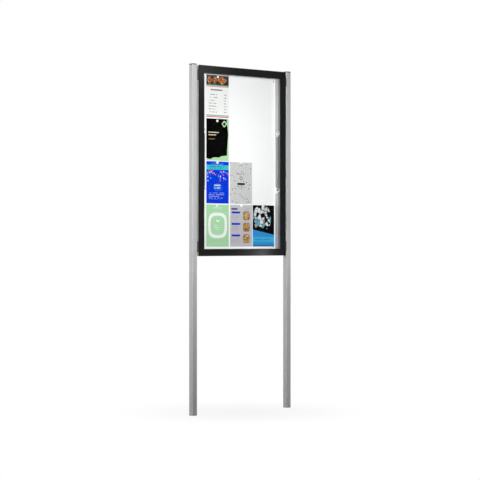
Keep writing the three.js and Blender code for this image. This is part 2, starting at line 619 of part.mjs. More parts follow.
function addStruts() {
  const length = strut.caseDrop - strut.doorDrop;
  const caseZ = doorTop - strut.caseDrop;
  const doorZ = doorTop - strut.doorDrop;
  const pieces = {
    tube: strutTube(length), rod: strutRod(length), door: doorStudSolid(), body: caseStudSolid(),
  };
  for (const [name, hand] of [['left', -1], ['right', 1]]) {
    const y = atDepth(strut.depth);
    const centre = hand * (windowHalf - strut.offset);
    const face = hand * (windowHalf - fit.seat);
    addPart(`strut_tube_${name}`, handed(pieces.tube, hand), greyPaint(), centre, y, caseZ);
    addPart(`strut_rod_${name}`, handed(pieces.rod, hand), steel(), centre, y, caseZ);
    addPart(`strut_bracket_case_${name}`, handed(pieces.body, hand), steel(), face, y, caseZ);
    addPart(`strut_bracket_door_${name}`, handed(pieces.door, hand), steel(), face, y, doorZ);
  }
}

// Cylinder locks in the underside of the case, each with a hooked cam
function housingSolid() {
  const shell = turned([
    [lock.bore, -lock.flangeRise], [lock.flange - lock.flangeRise / 2, -lock.flangeRise],
    [lock.flange, -lock.flangeRise / 2], [lock.flange, -fit.seat / 2], [lock.housing, -fit.seat / 2],
    [lock.housing, barrel.top], [spindle.radius + fit.run, barrel.top],
    [spindle.radius + fit.run, barrel.top - box.wall], [lock.bore, barrel.top - box.wall],
    [lock.bore, -lock.flangeRise],
  ]);
  const nutStart = box.lipWall + fit.seat;
  const nut = new THREE.CylinderGeometry(barrel.nut, barrel.nut, barrel.nutHeight, 6)
    .rotateX(Math.PI / 2).rotateZ(Math.PI / 6).translate(0, 0, nutStart + barrel.nutHeight / 2);
  const clear = roundBar('z', (lock.housing + lock.bore) / 2, -fit.overrun, barrel.top, facets.round);
  return join(shell, cut(nut, clear));
}

function plugSolid() {
  const top = barrel.top - box.wall - fit.seat;
  const camTop = barrel.top + fit.seat + cam.thickness + fit.seat;
  const body = turned([
    [0, -lock.flangeRise], [lock.plug, -lock.flangeRise], [lock.plug, top], [spindle.radius, top],
    [spindle.radius, camTop], [spindle.head, camTop], [spindle.head, camTop + spindle.headHeight],
    [0, camTop + spindle.headHeight],
  ]);
  const keyway = block(-barrel.key / 2, barrel.key / 2, -barrel.keyWidth / 2, barrel.keyWidth / 2,
    -lock.flangeRise - fit.overrun, -lock.flangeRise + barrel.keyDepth);
  return cut(body, keyway);
}

// The cam is a hub, an arm and an arc that hooks over the door's back web. Angles run from the front.
function camSolid() {
  const at = (radius, degrees) => {
    const angle = THREE.MathUtils.degToRad(degrees);
    return new THREE.Vector2(radius * Math.sin(angle), -radius * Math.cos(angle));
  };
  const arc = (radius, from, to, steps) => Array.from({ length: steps + 1 },
    (_, k) => at(radius, from + (to - from) * k / steps));
  const tip = cam.tip - cam.rest;
  const root = cam.root - cam.rest;
  const hook = new THREE.Shape([
    ...arc(cam.outer, root - cam.arm, tip, facets.round / 2),
    ...arc(cam.inner, tip, root, facets.round / 2),
    at(spindle.head, root), at(spindle.head, root - cam.arm),
  ]);
  const plate = new THREE.ExtrudeGeometry(hook, { depth: cam.thickness, bevelEnabled: false });
  const hub = roundBar('z', cam.hub, 0, cam.thickness, facets.round);
  const bore = roundBar('z', spindle.radius + fit.run, -fit.overrun, cam.thickness + fit.overrun);
  return cut(join(plate, hub), bore);
}

function addLocks() {
  for (const [name, hand] of [['left', -1], ['right', 1]]) {
    const place = [hand * lock.offset, atDepth(lock.depth), lockBottom];
    addPart(`lock_housing_${name}`, housingSolid(), steel(), ...place);
    addPart(`lock_plug_${name}`, plugSolid(), steel(), ...place);
    addPart(`lock_cam_${name}`, camSolid(), steel(), place[0], place[1], place[2] + barrel.top + fit.seat);
  }
}

addPosts();
addCase();
addPanels();
addNotices();
addDoorFrame();
addGlazing();
addDoorSeal();
addHinge();
addBrackets();
addStruts();
addLocks();

export default assembly;
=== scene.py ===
# Lockable notice board: materials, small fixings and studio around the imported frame.
# Metres, +Z up, the front faces -Y.
import math

import bpy
from mathutils import Matrix, Vector


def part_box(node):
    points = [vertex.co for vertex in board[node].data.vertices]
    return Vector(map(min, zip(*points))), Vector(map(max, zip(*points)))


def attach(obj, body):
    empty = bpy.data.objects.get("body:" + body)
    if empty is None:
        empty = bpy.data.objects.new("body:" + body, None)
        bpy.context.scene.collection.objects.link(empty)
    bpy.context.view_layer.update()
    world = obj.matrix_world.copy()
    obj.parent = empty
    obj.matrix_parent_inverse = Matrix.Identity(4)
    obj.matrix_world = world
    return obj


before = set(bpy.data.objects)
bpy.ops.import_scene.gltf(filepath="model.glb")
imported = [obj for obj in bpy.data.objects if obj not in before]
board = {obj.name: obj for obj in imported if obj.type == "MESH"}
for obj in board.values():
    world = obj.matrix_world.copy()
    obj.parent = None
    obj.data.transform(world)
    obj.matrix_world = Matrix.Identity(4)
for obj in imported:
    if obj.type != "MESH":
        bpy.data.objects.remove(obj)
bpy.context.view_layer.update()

bpy.ops.object.select_all(action="DESELECT")

# Camera at the photograph's place, level and far away
view = {"place": (-8.486787, -9.498202, 1.224368), "tilt": 89.991, "turn": -41.772,
        "lens": 133.912, "farClip": 400}
bpy.ops.object.camera_add(
    location=view["place"], rotation=(math.radians(view["tilt"]), 0, math.radians(view["turn"])))
camera = bpy.context.object
camera.data.lens = view["lens"]
camera.data.clip_end = view["farClip"]
bpy.context.scene.camera = camera
bpy.context.scene.view_settings.view_transform = "Standard"
print("camera set")


# A socket in a material's nodes. Sums written with it add Math nodes.
class Wire:
    def __init__(self, tree, socket=None):
        self.tree = tree
        self.socket = socket

    # Any new node. "stops" and "bands" are a ramp's colours and the way it blends them.
    def node(self, kind, settings=None, values=None, out=0):
        made = self.tree.nodes.new(kind)
        for name, setting in (settings or {}).items():
            if name == "bands":
                made.color_ramp.interpolation = setting
            elif name == "stops":
                ramp = made.color_ramp
                while len(ramp.elements) < len(setting):
                    ramp.elements.new(0.5)
                for element, (position, colour) in zip(ramp.elements, setting):
                    element.position = position
                    element.color = (*colour, 1)
            else:
                setattr(made, name, setting)
        for name, value in (values or {}).items():
            socket = made.inputs[name]
            if isinstance(value, Wire):
                self.tree.links.new(value.socket, socket)
            elif socket.type == "RGBA" and isinstance(value, tuple):
                socket.default_value = (*value, 1)
            else:
                socket.default_value = value
        return Wire(self.tree, made.outputs[out]) if len(made.outputs) else None

    def maths(self, operation, *values):
        return self.node("ShaderNodeMath", {"operation": operation}, dict(enumerate(values)))

    def __add__(self, other):
        return self.maths("ADD", self, other)

    def __sub__(self, other):
        return self.maths("SUBTRACT", self, other)

    def __rsub__(self, other):
        return self.maths("SUBTRACT", other, self)

    def __mul__(self, other):
        return self.maths("MULTIPLY", self, other)

    def __truediv__(self, other):
        return self.maths("DIVIDE", self, other)

    def __pow__(self, other):
        return self.maths("POWER", self, other)

    def __gt__(self, other):
        return self.maths("GREATER_THAN", self, other)

    def __lt__(self, other):
        return self.maths("LESS_THAN", self, other)

    __radd__ = __add__
    __rmul__ = __mul__

    def least(self, other):
        return self.maths("MINIMUM", self, other)

    def size(self):
        return self.maths("ABSOLUTE", self)

    def part(self):
        return self.maths("FRACT", self)

    def step(self):
        return self.maths("FLOOR", self)

    # 0 below low, 1 above high, smooth between
    def ease(self, low, high):
        return self.node("ShaderNodeMapRange", {"interpolation_type": "SMOOTHSTEP"},
                         {"Value": self, "From Min": low, "From Max": high})

    # The piece's own coordinates, stretched and moved
    def place(self, stretch=(1, 1, 1), shift=(0, 0, 0)):
        own = self.node("ShaderNodeTexCoord", out="Object")
        if stretch == (1, 1, 1) and shift == (0, 0, 0):
            return own
        return self.node("ShaderNodeMapping", {}, {"Vector": own, "Scale": stretch, "Location": shift})

    def axes(self):
        apart = self.node("ShaderNodeSeparateXYZ", {}, {0: self.place()})
        return [Wire(self.tree, output) for output in apart.socket.node.outputs]

    # Waves per metre first; a stretch below 1 draws the pattern out along that axis
    def noise(self, waves, detail=2.0, stretch=(1, 1, 1), shift=(0, 0, 0), rough=0.5):
        where = self.place(tuple(waves * s for s in stretch), shift)
        return self.node("ShaderNodeTexNoise", {}, {
            "Vector": where, "Scale": 1.0, "Detail": detail, "Roughness": rough})

    def cells(self, perMetre, feature="F1", out="Distance"):
        where = self.place((perMetre, perMetre, perMetre))
        return self.node("ShaderNodeTexVoronoi", {"feature": feature}, {
            "Vector": where, "Scale": 1.0, "Randomness": 1.0}, out=out)

    # A random number from 0 to 1 for each cell
    def patches(self, perMetre):
        return self.node("ShaderNodeSeparateColor", {}, {0: self.cells(perMetre, out="Color")})

    # Even random numbers from 0 to 1, one for each value
    def chance(self):
        return self.node("ShaderNodeTexWhiteNoise", {"noise_dimensions": "1D"}, {"W": self}, out="Value")

    def tint(self, share, under, over, blend="MIX"):
        return self.node("ShaderNodeMix", {"data_type": "RGBA", "blend_type": blend},
                         {0: share, 6: under, 7: over}, out=2)


# A material without nodes, and a wire to add them with
def bareMaterial(name):
    material = bpy.data.materials.new(name)
    material.use_nodes = True
    material.node_tree.nodes.clear()
    return material, Wire(material.node_tree)


# A material from its fixed numbers and from a recipe, which gives the sockets that vary.
# "height" is (pattern, strength, depth in metres) and becomes a bump.
def makeMaterial(name, fixed, recipe):
    material, start = bareMaterial(name)
    varied = recipe(start)
    pattern, strength, depth = varied.pop("height")
    varied["Normal"] = start.node("ShaderNodeBump", {}, {
        "Height": pattern, "Strength": strength, "Distance": depth})
    surface = start.node("ShaderNodeBsdfPrincipled", {}, {**fixed, **varied})
    start.node("ShaderNodeOutputMaterial", {}, {"Surface": surface})
    return material


# Anodised or coated extrusion: fine die lines along the bar, a cloudy sheen and faint rubs
extrusion = {"dieLines": 620, "streaks": 124, "drawnOut": 0.006, "cloud": 7, "rubs": 60, "rubTint": 0.35,
             "cloudSheen": 0.16, "lineSheen": 0.14, "rubSheen": 0.06}
coats = {
    "silver": {"dark": (0.39, 0.392, 0.39), "pale": (0.465, 0.467, 0.465), "rubbed": (0.55, 0.55, 0.545),
               "roughness": 0.52, "metallic": 0.27, "specular": 0.3, "bump": 0.12, "depth": 0.0003},
    "black": {"dark": (0.0045, 0.0045, 0.0047), "pale": (0.0070, 0.0070, 0.0073),
              "rubbed": (0.014, 0.014, 0.014),
              "roughness": 0.36, "metallic": 0.0, "specular": 0.07, "bump": 0.16, "depth": 0.0002},
    "grey": {"dark": (0.17, 0.171, 0.172), "pale": (0.23, 0.231, 0.232), "rubbed": (0.32, 0.32, 0.318),
             "roughness": 0.45, "metallic": 0.2, "specular": 0.3, "bump": 0.12, "depth": 0.0003},
}


# along is 0 for bars that lie along X and 2 for upright ones
def extruded(name, coat, along):
    def recipe(start):
        drawn = tuple(extrusion["drawnOut"] if axis == along else 1 for axis in range(3))
        lines = start.noise(extrusion["dieLines"], 3.0, drawn, rough=0.7)
        streaks = start.noise(extrusion["streaks"], 2.0, drawn, (3.1, 1.7, 4.3))
        cloud = start.noise(extrusion["cloud"], 3.0)
        rubs = start.noise(extrusion["rubs"], 5.0, shift=(5, 2, 1), rough=0.7).ease(0.62, 0.78)
        mixed = (lines * 0.45 + streaks * 0.35 + cloud * 0.2).ease(0.3, 0.7)
        clean = start.tint(mixed, coat["dark"], coat["pale"])
        return {
            "Base Color": start.tint(rubs * extrusion["rubTint"], clean, coat["rubbed"]),
            "Roughness": (coat["roughness"] + (cloud - 0.5) * extrusion["cloudSheen"]
                          + (lines - 0.5) * extrusion["lineSheen"] + rubs * extrusion["rubSheen"]),
            "height": (lines * 0.6 + streaks * 0.4, coat["bump"], coat["depth"]),
        }
    return makeMaterial(name, {"Metallic": coat["metallic"], "Specular IOR Level": coat["specular"]}, recipe)


silverUpright = extruded("silverUpright", coats["silver"], 2)
silverLevel = extruded("silverLevel", coats["silver"], 0)
blackUpright = extruded("blackUpright", coats["black"], 2)
blackLevel = extruded("blackLevel", coats["black"], 0)
greyUpright = extruded("greyUpright", coats["grey"], 2)
greyLevel = extruded("greyLevel", coats["grey"], 0)
print("extrusion finishes made")

# White enamel of the magnetic panel: slight orange peel, wiped marks and a trace of warm ageing
enamel = {"white": (0.94, 0.944, 0.948), "aged": (0.925, 0.928, 0.925), "speck": (0.70, 0.70, 0.69),
          "peel": 260, "wiping": 14, "cloud": 2.4, "specks": 900,
          "roughness": 0.3, "wipedRoughness": 0.06, "specular": 0.45}


def enamelRecipe(start):
    peel = start.noise(enamel["peel"], 2.0)
    wiped = start.noise(enamel["wiping"], 4.0, (1, 1, 0.35), rough=0.65)
    cloud = start.noise(enamel["cloud"], 2.0, shift=(1, 3, 2))
    specks = start.cells(enamel["specks"]).ease(0.0, 0.09)
    colour = start.tint(cloud.ease(0.35, 0.7) * 0.5, enamel["white"], enamel["aged"])
    return {"Base Color": start.tint((1 - specks) * 0.25, colour, enamel["speck"]),
            "Roughness": enamel["roughness"] + wiped.ease(0.4, 0.75) * enamel["wipedRoughness"],
            "height": (peel, 0.06, 0.0002)}


panelEnamel = makeMaterial("panelEnamel", {"Specular IOR Level": enamel["specular"]}, enamelRecipe)

# Mill-finish sheet behind the panel: rolling lines along X, blotches and a fine spangle
mill = {"dark": (0.46, 0.465, 0.47), "pale": (0.61, 0.615, 0.62), "rolling": 480, "blotches": 9,
        "spangle": 110, "roughness": 0.36, "metallic": 0.7}


def millRecipe(start):
    rolling = start.noise(mill["rolling"], 3.0, (0.008, 1, 1), rough=0.7)
    blotches = start.noise(mill["blotches"], 5.0, rough=0.6)
    facet = start.patches(mill["spangle"])
    tone = (rolling * 0.5 + blotches * 0.35 + facet * 0.15).ease(0.3, 0.72)
    return {"Base Color": start.tint(tone, mill["dark"], mill["pale"]),
            "Roughness": mill["roughness"] + blotches * 0.16 + facet * 0.05,
            "height": (rolling, 0.12, 0.0002)}


rearMill = makeMaterial("rearMill", {"Metallic": mill["metallic"]}, millRecipe)

# Moulded plastic with a fine spark-eroded grain
plastics = {
    "cap": {"dark": (0.009, 0.009, 0.010), "pale": (0.018, 0.018, 0.019),
            "roughness": 0.5, "grain": 1500, "specular": 0.12},
    "bracket": {"dark": (0.046, 0.046, 0.047), "pale": (0.074, 0.074, 0.075),
                "roughness": 0.46, "grain": 1400, "specular": 0.4},
    "magnet": {"dark": (0.82, 0.82, 0.81), "pale": (0.89, 0.89, 0.885),
               "roughness": 0.3, "grain": 1900, "specular": 0.4},
}


def moulded(name, plastic):
    def recipe(start):
        pits = start.cells(plastic["grain"]).ease(0.05, 0.6)
        skin = start.noise(plastic["grain"] * 0.7, 3.0)
        flow = start.noise(25, 3.0, rough=0.6)
        tone = (flow * 0.6 + pits * 0.4).ease(0.25, 0.75)
        return {"Base Color": start.tint(tone, plastic["dark"], plastic["pale"]),
                "Roughness": plastic["roughness"] + (skin - 0.5) * 0.18 + (flow - 0.5) * 0.1,
                "height": (pits * 0.6 + skin * 0.4, 0.35, 0.00012)}
    return makeMaterial(name, {"Specular IOR Level": plastic["specular"]}, recipe)


capPlastic = moulded("capPlastic", plastics["cap"])
bracketPlastic = moulded("bracketPlastic", plastics["bracket"])
magnetPlastic = moulded("magnetPlastic", plastics["magnet"])

# Plated steel: a bright base with a soft bloom, tiny pits and turning marks
platings = {
    "zinc": {"dark": (0.50, 0.51, 0.53), "pale": (0.66, 0.67, 0.69), "roughness": 0.3, "metallic": 0.9},
    "strut": {"dark": (0.74, 0.75, 0.76), "pale": (0.88, 0.88, 0.89), "roughness": 0.34, "metallic": 0.35},
    "nickel": {"dark": (0.56, 0.55, 0.53), "pale": (0.72, 0.71, 0.69), "roughness": 0.22, "metallic": 1.0},
    "chrome": {"dark": (0.60, 0.60, 0.61), "pale": (0.78, 0.78, 0.79), "roughness": 0.12, "metallic": 1.0},
}


def plated(name, metal):
    def recipe(start):
        bloom = start.noise(70, 4.0, rough=0.65)
        pits = start.cells(1300).ease(0.02, 0.25)
        turned = start.noise(1500, 2.0, (0.25, 0.25, 1))
        tone = (bloom * 0.65 + turned * 0.35).ease(0.3, 0.7)
        clean = start.tint(tone, metal["dark"], metal["pale"])
        return {"Base Color": start.tint((1 - pits) * 0.3, clean, metal["dark"]),
                "Roughness": metal["roughness"] + (bloom - 0.5) * 0.2 + (1 - pits) * 0.1,
                "height": (turned * 0.5 + pits * 0.5, 0.12, 0.0001)}
    return makeMaterial(name, {"Metallic": metal["metallic"]}, recipe)


zincPlate = plated("zincPlate", platings["zinc"])
strutZinc = plated("strutZinc", platings["strut"])
lockNickel = plated("lockNickel", platings["nickel"])
rodChrome = plated("rodChrome", platings["chrome"])

# Satin paint on steel, with a fine peel, rubbed where it is handled
paints = {
    "hinge": {"coat": (0.011, 0.011, 0.012), "rubbed": (0.05, 0.05, 0.05), "roughness": 0.4},
    "strut": {"coat": (0.15, 0.152, 0.155), "rubbed": (0.19, 0.19, 0.19), "roughness": 0.26},
}


def painted(name, paint):
    def recipe(start):
        peel = start.noise(700, 2.0)
        worn = start.noise(38, 5.0, rough=0.7).ease(0.6, 0.8)
        return {"Base Color": start.tint(worn * 0.6, paint["coat"], paint["rubbed"]),
                "Roughness": paint["roughness"] + (peel - 0.5) * 0.15 + worn * 0.1,
                "height": (peel, 0.2, 0.0001)}
    return makeMaterial(name, {"Specular IOR Level": 0.4}, recipe)


hingePaint = painted("hingePaint", paints["hinge"])
strutPaint = painted("strutPaint", paints["strut"])

# Extruded rubber: dull, with drawn-out streaks and a grey bloom
rubber = {"black": (0.010, 0.010, 0.010), "bloomed": (0.034, 0.034, 0.033), "streaks": 300, "bloom": 30,
          "roughness": 0.72, "specular": 0.3}


def rubberRecipe(start):
    streaks = start.noise(rubber["streaks"], 3.0, (0.2, 1, 1), rough=0.6)
    bloom = start.noise(rubber["bloom"], 4.0, rough=0.7).ease(0.5, 0.8)
    return {"Base Color": start.tint(bloom * 0.5 + streaks * 0.2, rubber["black"], rubber["bloomed"]),
            "Roughness": rubber["roughness"] + bloom * 0.16,
            "height": (streaks, 0.25, 0.00015)}


sealRubber = makeMaterial("sealRubber", {"Specular IOR Level": rubber["specular"]}, rubberRecipe)

# Pane: clear sheet that mirrors more at a flat angle, with a little dust in wiped streaks
pane = {"clear": (0.965, 0.968, 0.967), "mirror": (0.95, 0.96, 0.96), "roughness": 0.03,
        "leastMirror": 0.001, "flatMirror": 0.15, "smearMirror": 0.0015}


def paneMaterial():
    material, start = bareMaterial("paneClear")
    flat = start.node("ShaderNodeLayerWeight", {}, {"Blend": 0.5}, out="Facing")
    smears = start.noise(6, 5.0, (1, 1, 0.3), rough=0.7).ease(0.45, 0.8)
    mirror = start.node("ShaderNodeBsdfPrincipled", {}, {
        "Base Color": pane["mirror"], "Metallic": 1.0, "Roughness": pane["roughness"] + smears * 0.05})
    through = start.node("ShaderNodeBsdfTransparent", {}, {"Color": pane["clear"]})
    outer = 1 - start.node("ShaderNodeNewGeometry", out="Backfacing")    # each face mirrors on its outside
    share = (flat ** 5 * pane["flatMirror"] + smears * pane["smearMirror"] + pane["leastMirror"]) * outer
    film = start.node("ShaderNodeMixShader", {}, {0: share, 1: through, 2: mirror})
    start.node("ShaderNodeOutputMaterial", {}, {"Surface": film})
    return material


paneClear = paneMaterial()
print("metal, plastic, rubber and pane finishes made")

# Printed A4 sheets. The lengths in the designs are metres from a sheet's lower left corner.
sheet = {"width": 0.21, "height": 0.297, "fibre": 2200, "dull": (0.95, 0.95, 0.95),
         "bright": (1.0, 1.0, 0.995), "roughness": 0.46, "specular": 0.01}
writing = {"shortRow": 0.62, "wordGaps": 0.14, "blocks": 3.7, "blockGap": 0.17,
           "lowBlock": 0.72, "uneven": 0.38}


class Page:
    def __init__(self, start, corner, paper):
        x, _, z = start.axes()
        self.start = start
        self.across = x - corner.x
        self.up = z - corner.z
        self.colour = paper

    def lay(self, mask, colour):
        self.colour = self.start.tint(mask, self.colour, colour)

    def box(self, left, right, low, high):
        return (self.across > left) * (self.across < right) * (self.up > low) * (self.up < high)

    # A band as wide as the sheet
    def band(self, low, high):
        return self.box(0, sheet["width"], low, high)

    # A superellipse: power 1 is a diamond, 2 is round and higher powers are squarer
    def spot(self, across, up, width, height, power=2):
        reach = ((self.across - across).size() / width) ** power + ((self.up - up).size() / height) ** power
        return reach < 1

    # Rows of small blocks in place of writing, uneven in height, with gaps for words and ragged ends.
    # The odd factors only give rows, words and blocks random numbers of their own.
    def bars(self, left, right, low, high, pitch, fill=0.45, seed=0.0, word=0.011):
        short = writing["shortRow"]
        row = (self.up / pitch + seed).step()
        end = left + (right - left) * (short + (1 - short) * (row + seed * 7).chance())
        inWord = ((self.across / word).step() + row * 31).chance() > writing["wordGaps"]
        block = self.across * writing["blocks"] / word
        height = (block.step() + row * 17).chance() * writing["uneven"] * fill + writing["lowBlock"] * fill
        line = ((self.up / pitch + seed).part() < height) * (block.part() > writing["blockGap"])
        return self.box(left, right, low, high) * line * (self.across < end) * inWord

    # Small patches, each of one colour of a list
    def mix(self, perMetre, stops):
        return self.start.node("ShaderNodeValToRGB", {"stops": stops, "bands": "CONSTANT"},
                               {"Fac": self.start.patches(perMetre)})


priceInks = {
    "paper": (0.875, 0.875, 0.87), "darkGrain": (0.02, 0.016, 0.012), "paleGrain": (0.075, 0.06, 0.05),
    "rim": (0.34, 0.27, 0.19), "green": (0.16, 0.42, 0.26), "lowGreen": (0.16, 0.42, 0.30),
    "red": (0.72, 0.14, 0.14), "title": (0.05, 0.05, 0.05), "rows": (0.09, 0.09, 0.09),
    "motif": [(0.0, (0.40, 0.02, 0.012)), (0.35, (0.62, 0.20, 0.03)), (0.55, (0.46, 0.035, 0.015)),
              (0.7, (0.07, 0.18, 0.03)), (0.85, (0.80, 0.58, 0.30))],
}


def priceList(page, ink):
    grain = page.start.noise(90, 4.0, (1, 1, 0.2))
    page.lay(page.band(0.229, sheet["height"]), page.start.tint(grain, ink["darkGrain"], ink["paleGrain"]))
    for across, width in ((0.028, 0.024), (0.077, 0.024), (0.147, 0.045)):
        page.lay(page.spot(across, 0.263, width, 0.031, 1), ink["rim"])
        page.lay(page.spot(across, 0.263, width * 0.9, 0.0275, 1), page.mix(150, ink["motif"]))
    page.lay(page.band(0.222, 0.229), ink["green"])
    page.lay(page.band(0.215, 0.220), ink["red"])
    page.lay(page.bars(0.040, 0.152, 0.189, 0.202, 0.0172, 0.6, 0.03, 0.02), ink["title"])
    page.lay(page.bars(0.022, 0.110, 0.034, 0.178, 0.0205, 0.24, 0.3), ink["rows"])
    page.lay(page.bars(0.166, 0.190, 0.034, 0.178, 0.0205, 0.24, 0.3, 0.012), ink["rows"])
    page.lay(page.band(0.010, 0.017), ink["lowGreen"])
    page.lay(page.band(0.000, 0.007), ink["red"])


leafInks = {"paper": (0.0008, 0.0008, 0.0008), "edge": (0.42, 0.68, 0.38), "pale": (0.50, 0.72, 0.46),
            "heart": (0.03, 0.06, 0.03), "title": (0.80, 0.78, 0.55), "rows": (0.60, 0.28, 0.10)}


def leafPoster(page, ink):
    drift = page.start.noise(14, 2.0) * 0.04
    page.lay((page.up + drift) < (page.across - 0.03).size() * 0.16 + 0.036, ink["edge"])
    page.lay((page.across + drift) > 0.216, ink["edge"])
    page.lay((page.up - drift) > 0.290, ink["pale"])
    page.lay(page.spot(0.168, 0.262, 0.024, 0.024, 1.2), ink["pale"])
    page.lay(page.spot(0.168, 0.262, 0.014, 0.014, 1.2), ink["heart"])
    page.lay(page.bars(0.020, 0.122, 0.172, 0.208, 0.0180, 0.42, 0.1, 0.018), ink["title"])
    page.lay(page.bars(0.020, 0.110, 0.146, 0.158, 0.0120, 0.30, 0.4), ink["rows"])


fairInks = {
    "paper": (0.003, 0.040, 0.66), "band": (0.045, 0.50, 0.55), "onBand": (0.015, 0.26, 0.40),
    "above": (0.22, 0.36, 0.80), "spot": (0.01, 0.10, 0.76), "title": (0.66, 0.78, 0.50),
    "rows": (0.36, 0.48, 0.82),
    "confetti": [(0.0, (0.75, 0.06, 0.05)), (0.5, (0.06, 0.62, 0.85)), (0.62, (0.85, 0.20, 0.12)),
                 (0.78, (0.80, 0.84, 0.90)), (0.9, (0.88, 0.40, 0.10))],
}


def fairPoster(page, ink):
    confetti = page.start.cells(68) < 0.36
    thinning = page.start.patches(68) + (page.up - 0.2) * 5 > 0.42
    page.lay(page.box(0.006, 0.204, 0.156, 0.234) * confetti * thinning, page.mix(68, ink["confetti"]))
    page.lay(page.band(0.238, 0.272), ink["band"])
    page.lay(page.bars(0.026, 0.184, 0.246, 0.264, 0.0200, 0.8, 0.25, 0.013), ink["onBand"])
    page.lay(page.bars(0.045, 0.165, 0.276, 0.286, 0.0100, 0.6, 0.6), ink["above"])
    page.lay(page.spot(0.105, 0.114, 0.044, 0.030, 2), ink["spot"])
    page.lay(page.bars(0.074, 0.142, 0.096, 0.134, 0.0190, 0.55, 0.5, 0.012), ink["title"])
    page.lay(page.bars(0.022, 0.190, 0.026, 0.076, 0.0125, 0.42, 0.2, 0.015), ink["rows"])


plainInks = {"paper": (0.60, 0.60, 0.595), "flecks": (0.22, 0.22, 0.23), "fineFlecks": (0.36, 0.36, 0.36),
             "ring": (0.10, 0.10, 0.10), "label": (0.02, 0.02, 0.02), "title": (0.14, 0.14, 0.14),
             "rows": (0.25, 0.25, 0.25)}


def plainPoster(page, ink):
    start = page.start
    page.lay((start.cells(44) < 0.24) * (start.patches(44) > 0.4), ink["flecks"])
    page.lay((start.cells(90) < 0.22) * (start.patches(90) > 0.6), ink["fineFlecks"])
    page.lay(page.spot(0.105, 0.182, 0.017, 0.017, 1.0), ink["ring"])
    page.lay(page.spot(0.105, 0.182, 0.011, 0.011, 1.0), ink["paper"])
    page.lay(page.spot(0.105, 0.142, 0.036, 0.0075, 6), ink["label"])
    page.lay(page.bars(0.066, 0.150, 0.206, 0.220, 0.0140, 0.4, 0.0, 0.008), ink["title"])
    page.lay(page.bars(0.070, 0.150, 0.108, 0.124, 0.0080, 0.25, 0.0), ink["rows"])


frameInks = {"paper": (0.40, 0.72, 0.41), "ring": (0.93, 0.94, 0.93), "inside": (0.42, 0.74, 0.43),
             "rows": (0.92, 0.93, 0.92), "head": (0.72, 0.80, 0.72), "foot": (0.60, 0.76, 0.60)}


def framePoster(page, ink):
    page.lay(page.spot(0.105, 0.150, 0.088, 0.090, 3.2), ink["ring"])
    page.lay(page.spot(0.105, 0.150, 0.066, 0.068, 3.2), ink["inside"])
    page.lay(page.box(0.092, 0.120, 0.176, 0.188), ink["ring"])
    page.lay(page.bars(0.072, 0.142, 0.120, 0.160, 0.0150, 0.4, 0.2), ink["rows"])
    page.lay(page.box(0.060, 0.150, 0.270, 0.276), ink["head"])
    page.lay(page.bars(0.030, 0.180, 0.014, 0.028, 0.0120, 0.3, 0.0), ink["foot"])


tilesInks = {
    "paper": (0.56, 0.545, 0.585), "head": (0.06, 0.06, 0.07), "date": (0.30, 0.30, 0.33),
    "label": (0.006, 0.04, 0.60), "rows": (0.34, 0.33, 0.36), "rim": (0.05, 0.04, 0.04),
    "tile": [(0.0, (0.50, 0.20, 0.05)), (0.3, (0.72, 0.46, 0.16)), (0.5, (0.30, 0.07, 0.02)),
             (0.72, (0.80, 0.62, 0.34)), (0.88, (0.16, 0.22, 0.04))],
}


def tilesPoster(page, ink):
    page.lay(page.box(0.012, 0.070, 0.262, 0.274), ink["head"])
    page.lay(page.bars(0.140, 0.198, 0.262, 0.282, 0.0080, 0.3, 0.0), ink["date"])
    for k, up in enumerate((0.214, 0.132, 0.050)):
        page.lay(page.box(0.014, 0.096, up + 0.022, up + 0.036), ink["label"])
        page.lay(page.bars(0.014, 0.096, up - 0.022, up + 0.016, 0.0085, 0.3, 0.15 * k), ink["rows"])
        page.lay(page.spot(0.156, up + 0.006, 0.031, 0.031, 5), ink["rim"])
        page.lay(page.spot(0.156, up + 0.006, 0.028, 0.028, 5), page.mix(120 + 15 * k, ink["tile"]))


nightInks = {
    "paper": (0.003, 0.003, 0.004), "blue": (0.035, 0.30, 0.72), "paleBlue": (0.06, 0.45, 0.80),
    "rows": (0.02, 0.16, 0.42), "foot": (0.01, 0.01, 0.012),
    "shards": [(0.0, (0.70, 0.74, 0.76)), (0.50, (0.14, 0.42, 0.52)), (0.60, (0.74, 0.78, 0.80)),
               (0.76, (0.34, 0.38, 0.40)), (0.86, (0.80, 0.84, 0.86))],
}


def nightPoster(page, ink):
    start = page.start
    area = page.spot(0.092, 0.206, 0.086, 0.084, 3) * (start.cells(38, "DISTANCE_TO_EDGE") > 0.05)
    page.lay(area * (start.patches(38) > 0.36), page.mix(38, ink["shards"]))
    page.lay((page.up + page.across * 0.18) < 0.122, ink["blue"])
    page.lay(page.band(0.030, 0.070), ink["paleBlue"])
    page.lay(page.bars(0.020, 0.180, 0.036, 0.062, 0.0130, 0.3, 0.3), ink["rows"])
    page.lay(page.band(0.0, 0.006), ink["foot"])


def printedSheet(name, design, inks):
    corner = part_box(name)[0]

    def recipe(start):
        page = Page(start, corner, inks["paper"])
        design(page, inks)
        fibre = start.noise(sheet["fibre"], 3.0, rough=0.7)
        tooth = start.tint(fibre, sheet["dull"], sheet["bright"])
        return {"Base Color": start.tint(1.0, page.colour, tooth, "MULTIPLY"),
                "Roughness": sheet["roughness"] + (fibre - 0.5) * 0.2,
                "height": (fibre, 0.15, 0.00006)}
    return makeMaterial(name + "Print", {"Specular IOR Level": sheet["specular"]}, recipe)


# Every frame node gets its finish
def dress(finish, *names):
    for name in names:
        for place in board[name].material_slots:
            place.material = finish


